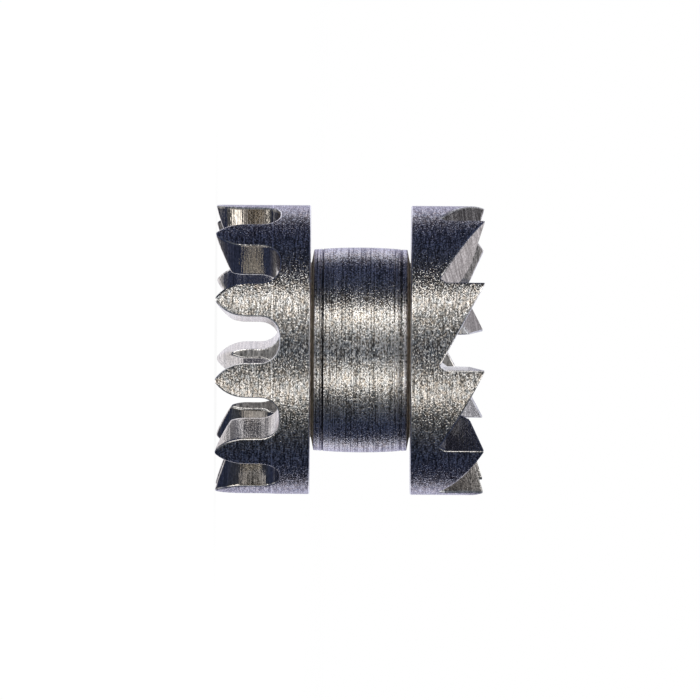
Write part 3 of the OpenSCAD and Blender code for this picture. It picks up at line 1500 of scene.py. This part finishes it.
@dataclass(frozen=True)
class SlidingPinion:
    """The whole pinion: crown wheel, waist, ratchet wheel and bore in one skin."""

    crown: CrownWheel
    ratchet: RatchetWheel
    bore: StemBore
    lower_lines: tuple[ToolLine, ...] = (
        ToolLine(0.287, 0.016, 0.006),
        ToolLine(0.238, 0.012, 0.002),
        ToolLine(0.313, 0.010, 0.003),
    )
    upper_lines: tuple[ToolLine, ...] = (
        ToolLine(0.307, 0.030, 0.004),
        ToolLine(0.289, 0.010, 0.002),
        ToolLine(0.262, 0.010, 0.002),
    )
    smooth_angle: float = 34.0

    def skin(self) -> bpy.types.Mesh:
        """Builds the closed skin in metres, with its finishes.

        Returns:
            The mesh.
        """
        blank = self.crown.blank
        sectors = {
            "Crown": (self.crown.sector(self.lower_lines), self.crown.teeth),
            "Ratchet": (self.ratchet.sector(self.upper_lines), self.ratchet.teeth),
            "Bore": (
                self.bore.sector(
                    (self.crown.floor_r, self.crown.recess),
                    (self.ratchet.floor_r, blank.overall_l - self.ratchet.recess),
                ),
                self.bore.sides,
            ),
        }
        tree = PinionTree()
        carrier = placed("skin_carrier", bpy.data.meshes.new("skin_carrier"))
        modifier = carrier.modifiers.new("sectors", "NODES")
        modifier.node_group = tree.tree
        for part, (sector, copies) in sectors.items():
            modifier[tree.inputs[f"{part} sector"]] = sector
            modifier[tree.inputs[f"{part} copies"]] = copies
        modifier[tree.inputs["Weld distance"]] = PinionTree.WELD
        for finish in FINISHES.values():
            modifier[tree.inputs[finish.name]] = finish.material()
        evaluated = carrier.evaluated_get(bpy.context.evaluated_depsgraph_get())
        mesh = bpy.data.meshes.new_from_object(evaluated)
        for helper in (carrier, *(sector for sector, _ in sectors.values())):
            bpy.data.objects.remove(helper)
        mesh.materials.pop(index=0)
        self.finish_skin(mesh)
        return mesh

    def finish_skin(self, mesh: bpy.types.Mesh) -> None:
        """Turns the faces outwards, scales the skin to metres and smooths its shading.

        Args:
            mesh: The skin, in millimetres.
        """
        work = bmesh.new()
        work.from_mesh(mesh)
        bmesh.ops.recalc_face_normals(work, faces=work.faces)
        open_edges = sum(not edge.is_manifold for edge in work.edges)
        volume = work.calc_volume(signed=True)
        work.to_mesh(mesh)
        work.free()
        LOG.info("skin: %d faces, %d open edges, %.4f mm3", len(mesh.polygons), open_edges, volume)
        mesh.transform(Matrix.Scale(MM, 4))
        mesh.shade_smooth()
        mesh.set_sharp_from_angle(angle=math.radians(self.smooth_angle))

    def build(self) -> bpy.types.Object:
        """Makes the pinion's object, which stands for the CAD node.

        Returns:
            The object.
        """
        piece = placed("pinion_skin", self.skin())
        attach(piece, "root")
        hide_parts("sliding_pinion")
        return piece


@dataclass(frozen=True)
class SoftLamp:
    """A rectangular soft lamp that faces the pinion.

    Attributes:
        name: Name of the lamp.
        bearing: Angle from the camera's direction, in degrees, towards +X.
        rise: Angle above the level of the pinion, in degrees.
        width: Angle that the lamp spans sideways, in degrees.
        height: Angle that it spans up and down, in degrees.
        radiance: Brightness of its face, where 1 is white.
        color: Colour of its light.
        distance: Distance from the pinion, in metres.
    """

    name: str
    bearing: float
    rise: float
    width: float
    height: float
    radiance: float
    color: tuple[float, float, float]
    distance: float = 0.25

    def build(self, aim: Vector) -> bpy.types.Object:
        """Makes the lamp.

        Args:
            aim: Point that it faces.

        Returns:
            The lamp's object.
        """
        data = bpy.data.lights.new(self.name, "AREA")
        data.shape = "RECTANGLE"
        data.size = 2 * self.distance * math.tan(math.radians(self.width / 2))
        data.size_y = 2 * self.distance * math.tan(math.radians(self.height / 2))
        data.energy = self.radiance * math.pi * data.size * data.size_y
        data.color = self.color
        bearing, rise = math.radians(self.bearing), math.radians(self.rise)
        level = math.cos(rise)
        away = Vector((math.sin(bearing) * level, -math.cos(bearing) * level, math.sin(rise)))
        facing = away.to_track_quat("Z", "Y").to_matrix().to_4x4()
        lamp = placed(self.name, data)
        lamp.matrix_world = Matrix.Translation(aim + self.distance * away) @ facing
        lamp.visible_camera = False
        return lamp


@dataclass(frozen=True)
class Studio:
    """A pale floor in a white room, and a dark tent and card whose glow paints reflections that
    only the metal mirrors.
    """

    floor_size: float = 1.2
    floor_color: Color = (0.96, 0.96, 0.96, 1.0)
    floor_glow: float = 0.92
    white: Color = (1.0, 1.0, 1.0, 1.0)
    tent_r: float = 0.35
    # Width and height of a face of the tent, in degrees
    tent_step: tuple[float, float] = (3.0, 2.0)
    # Place of the card behind the pinion: its opening and side, and its four heights
    card_y: float = 1.13
    card_x: tuple[float, float] = (0.8, 2.35)
    card_z: tuple[float, float, float, float] = (-0.25, 0.15, 1.93, 2.2)
    # The card glows white as a painted reflection; its top row glows grey as painted shade.
    card_color: Color = (0.94, 0.94, 1.0, 1.0)
    card_top_shade: Color = (0.60, 0.60, 0.66, 1.0)
    # The door glows pale: a painted reflection of the white room behind.
    door_color: Color = (0.93, 0.93, 1.0, 1.0)
    door_middle: float = -178.0
    door_width: float = 44.0
    door_rise: float = 47.0
    # Painted reflections: a dark roof and ground, and a grey nadir beneath.
    roof: Color = (0.05, 0.054, 0.075, 1.0)
    ground: Color = (0.025, 0.033, 0.075, 1.0)
    nadir: Color = (0.375, 0.375, 0.39, 1.0)
    # Heights between which these set in, as shares of the tent's radius
    roof_fade: tuple[float, float] = (0.75, 0.92)
    ground_fade: tuple[float, float] = (0.75, 0.90)
    nadir_fade: tuple[float, float] = (0.92, 0.98)
    lamps: tuple[SoftLamp, ...] = (
        SoftLamp("upper_strip", -41.0, 0.0, 8.0, 120.0, 2.2, (1.0, 0.96, 0.915)),
        SoftLamp("lower_strip", 37.5, 0.0, 9.0, 120.0, 1.75, (1.0, 0.955, 0.905)),
        SoftLamp("overhead", 0.0, 90.0, 44.0, 44.0, 0.75, (0.96, 0.97, 1.0)),
    )
    # Colour of the tent's wall by its bearing from the camera, in degrees towards +X: painted
    # reflections, with dark shade and bright bands beside the strips
    wall_stops: tuple[tuple[float, Color], ...] = (
        (-150.0, (0.45, 0.45, 0.46, 1.0)),
        (-136.0, (0.28, 0.28, 0.31, 1.0)),
        (-118.0, (0.040, 0.048, 0.095, 1.0)),
        (-80.0, (0.036, 0.046, 0.086, 1.0)),
        (-62.0, (0.041, 0.045, 0.061, 1.0)),
        (-50.0, (0.098, 0.102, 0.112, 1.0)),
        (-36.0, (0.85, 0.82, 0.78, 1.0)),
        (-26.0, (0.575, 0.56, 0.545, 1.0)),
        (-14.0, (0.315, 0.322, 0.330, 1.0)),
        (0.0, (0.052, 0.066, 0.098, 1.0)),
        (9.0, (0.148, 0.165, 0.195, 1.0)),
        (18.0, (0.43, 0.42, 0.41, 1.0)),
        (29.0, (0.80, 0.775, 0.735, 1.0)),
        (43.0, (0.155, 0.152, 0.149, 1.0)),
        (56.0, (0.132, 0.138, 0.144, 1.0)),
        (72.0, (0.072, 0.080, 0.100, 1.0)),
        (90.0, (0.028, 0.038, 0.075, 1.0)),
        (118.0, (0.038, 0.046, 0.088, 1.0)),
        (136.0, (0.125, 0.125, 0.150, 1.0)),
        (150.0, (0.14, 0.14, 0.15, 1.0)),
    )

    @staticmethod
    def seen_rays(maker: NodeMaker) -> Socket:
        """Tells the rays that see the background: camera, glossy and transmission rays.

        Args:
            maker: Maker of the floor's nodes.

        Returns:
            1 for those rays and 0 for the others.
        """
        path = maker.node("ShaderNodeLightPath")
        kinds = ("Is Camera Ray", "Is Glossy Ray", "Is Transmission Ray")
        camera, glossy, transmission = (Socket(maker, path.outputs[kind]) for kind in kinds)
        return maker.math("MINIMUM", camera + glossy + transmission, 1.0)

    def world(self) -> None:
        """Makes the white room."""
        world = bpy.data.worlds.new("white_room")
        bpy.context.scene.world = world
        world.use_nodes = True
        world.node_tree.nodes.clear()
        maker = NodeMaker(world.node_tree)
        light = maker.out("ShaderNodeBackground", {}, {"Color": self.white, "Strength": 1.0})
        maker.node("ShaderNodeOutputWorld", {}, {"Surface": light})
        world.cycles.sampling_method = "NONE"

    def floor(self) -> bpy.types.Object:
        """Makes the pale floor, which keeps the object's shadow.

        Returns:
            The floor's object.
        """
        half = self.floor_size / 2
        corners = [(-half, -half, 0), (half, -half, 0), (half, half, 0), (-half, half, 0)]
        mesh = bpy.data.meshes.new("floor")
        mesh.from_pydata(corners, [], [(0, 1, 2, 3)])
        floor = placed("floor", mesh)
        made, maker = new_material("pale_floor")
        matt = maker.out("ShaderNodeBsdfDiffuse", {}, {"Color": self.floor_color})
        glow = maker.out("ShaderNodeEmission", {}, {"Color": self.white, "Strength": 1.0})
        seen = self.seen_rays(maker) * self.floor_glow
        both = maker.out("ShaderNodeMixShader", {}, {0: seen, 1: matt, 2: glow})
        maker.node("ShaderNodeOutputMaterial", {}, {"Surface": both})
        mesh.materials.append(made)
        floor.visible_glossy = False
        floor.visible_shadow = False
        return floor

    def tent_mesh(self, aim: Vector) -> bpy.types.Mesh:
        """Makes the tent's sphere, with a door behind the object.

        Args:
            aim: Middle of the tent.

        Returns:
            The mesh.
        """
        step, lift = self.tent_step
        bearings = np.linspace(-180, 180, round(360 / step) + 1)
        rises = np.linspace(-90, 90, round(180 / lift) + 1)
        bearing, rise = np.radians(bearings)[None, :], np.radians(rises)[:, None]
        flat = np.cos(rise)
        points = np.stack(
            (np.sin(bearing) * flat, -np.cos(bearing) * flat, np.sin(rise) + 0 * bearing), -1
        ).reshape(-1, 3)
        width = len(bearings)
        faces, doors = [], []
        for row, low in enumerate(rises[:-1]):
            for column, left in enumerate(bearings[:-1]):
                aside = (left + step / 2 - self.door_middle + 180) % 360 - 180
                share = math.hypot(aside / self.door_width, (low + lift / 2) / self.door_rise)
                corner = row * width + column
                faces.append((corner, corner + 1, corner + width + 1, corner + width))
                doors.append(int(share <= 1))
        mesh = bpy.data.meshes.new("dark_tent")
        mesh.from_pydata((points * self.tent_r + np.array(aim)).tolist(), [], faces)
        mesh.polygons.foreach_set("material_index", doors)
        return mesh

    @staticmethod
    def glowing(name: str, color: Color) -> bpy.types.Material:
        """Makes a plain glowing material.

        Args:
            name: Name of the material.
            color: Colour of its glow.

        Returns:
            The material.
        """
        made, maker = new_material(name)
        glow = maker.out("ShaderNodeEmission", {}, {"Color": color, "Strength": 1.0})
        maker.node("ShaderNodeOutputMaterial", {}, {"Surface": glow})
        return made

    @staticmethod
    def show_in_mirrors(piece: bpy.types.Object) -> None:
        """Hides a piece of the stage from all but the metal.

        Args:
            piece: The tent or the card.
        """
        piece.visible_camera = False
        piece.visible_diffuse = False
        piece.visible_shadow = False
        piece.visible_transmission = False

    def tent(self, aim: Vector) -> bpy.types.Object:
        """Makes the tent, whose glow paints reflections that only the metal mirrors.

        Args:
            aim: Middle of the tent.

        Returns:
            The tent's object.
        """
        mesh = self.tent_mesh(aim)
        tent = placed("dark_tent", mesh)
        made, maker = new_material("tent_painted_reflections")
        x, y, z = maker.object_axes()
        share = maker.math("ARCTAN2", x, 0.0 - y) * (0.5 / math.pi) + 0.5
        stops = [(0.5 + bearing / 360, color) for bearing, color in self.wall_stops]
        color = maker.out("ShaderNodeValToRGB", {"stops": stops}, {0: share})
        caps = (
            (1, self.roof_fade, self.roof),
            (-1, self.ground_fade, self.ground),
            (-1, self.nadir_fade, self.nadir),
        )
        smooth = {"interpolation_type": "SMOOTHSTEP"}
        for side, (low, high), cap in caps:
            limits = {"From Min": low * self.tent_r, "From Max": high * self.tent_r}
            fade = maker.out("ShaderNodeMapRange", smooth, {"Value": z * side, **limits})
            color = maker.mix(fade, color, cap)
        glow = maker.out("ShaderNodeEmission", {}, {"Color": color, "Strength": 1.0})
        maker.node("ShaderNodeOutputMaterial", {}, {"Surface": glow})
        mesh.materials.append(made)
        mesh.materials.append(self.glowing("tent_door_painted_reflection", self.door_color))
        self.show_in_mirrors(tent)
        return tent

    def back_card(self) -> bpy.types.Object:
        """Makes a glowing card with an opening behind the object, a painted reflection that only
        the metal mirrors.

        Returns:
            The card's object.
        """
        opening, side = self.card_x
        across = (-side, -opening, opening, side)
        width = len(across)
        points = [(x * MM, self.card_y * MM, z * MM) for z in self.card_z for x in across]
        cells = [cell for cell in product(range(3), repeat=2) if cell != (1, 1)]
        corners = [row * width + column for row, column in cells]
        mesh = bpy.data.meshes.new("back_card")
        mesh.from_pydata(points, [], [(c, c + 1, c + width + 1, c + width) for c in corners])
        # The top row of cells takes the grey painted shade, the others the white painted
        # reflection.
        mesh.polygons.foreach_set("material_index", [int(row == 2) for row, _ in cells])
        card = placed("back_card", mesh)
        mesh.materials.append(self.glowing("white_card_painted_reflection", self.card_color))
        mesh.materials.append(self.glowing("painted_shade_card_top", self.card_top_shade))
        self.show_in_mirrors(card)
        return card

    def build(self, aim: Vector) -> None:
        """Makes the room, the floor, the tent, the card and the lamps.

        Args:
            aim: Point that they stand round.
        """
        self.world()
        self.floor()
        self.tent(aim)
        self.back_card()
        for lamp in self.lamps:
            lamp.build(aim)


@dataclass(frozen=True)
class PhotoCamera:
    """The camera that looks at the pinion's side, with its axis level in the picture.

    Attributes:
        distance: Distance from the axis, in millimetres.
        field: Width of what the picture shows at the axis, in millimetres.
        height: Height of the picture's middle on the pinion, in millimetres.
        roll: Turn of the pinion in the picture, in degrees.
        sensor: Width of the camera's sensor, in millimetres.
        clip: Nearest and farthest distance that it shows, in metres.
    """

    distance: float = 130.0
    field: float = 5.3325
    height: float = 1.0235
    roll: float = 0.36
    sensor: float = 36.0
    clip: tuple[float, float] = (0.01, 3.0)

    def build(self) -> None:
        """Makes the camera and gives it to the scene."""
        data = bpy.data.cameras.new("photo_camera")
        data.sensor_width = self.sensor
        data.lens = self.sensor * self.distance / self.field
        data.clip_start, data.clip_end = self.clip
        camera = placed("photo_camera", data)
        facing = Matrix(((0, -1, 0), (0, 0, -1), (1, 0, 0))).to_4x4()
        place = Matrix.Translation((0, -self.distance * MM, self.height * MM))
        camera.matrix_world = place @ facing @ Matrix.Rotation(math.radians(self.roll), 4, "Z")
        bpy.context.scene.camera = camera


def main() -> None:
    """Builds the pinion, the camera and the studio in order, and reports each."""
    logging.basicConfig(level=logging.INFO, format="%(name)s: %(message)s")
    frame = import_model()
    LOG.info("frame loaded: %s", ", ".join(frame["nodes"]))
    bpy.context.scene.view_settings.view_transform = "Standard"
    PhotoCamera().build()
    LOG.info("camera placed")
    blank = Blank()
    pinion = SlidingPinion(CrownWheel(blank), RatchetWheel(blank), StemBore())
    piece = pinion.build()
    LOG.info("%s: %d faces", piece.name, len(piece.data.polygons))
    Studio().build(Vector((0, 0, blank.waist_z * MM)))
    LOG.info("studio set")


if __name__ == "__main__":
    main()
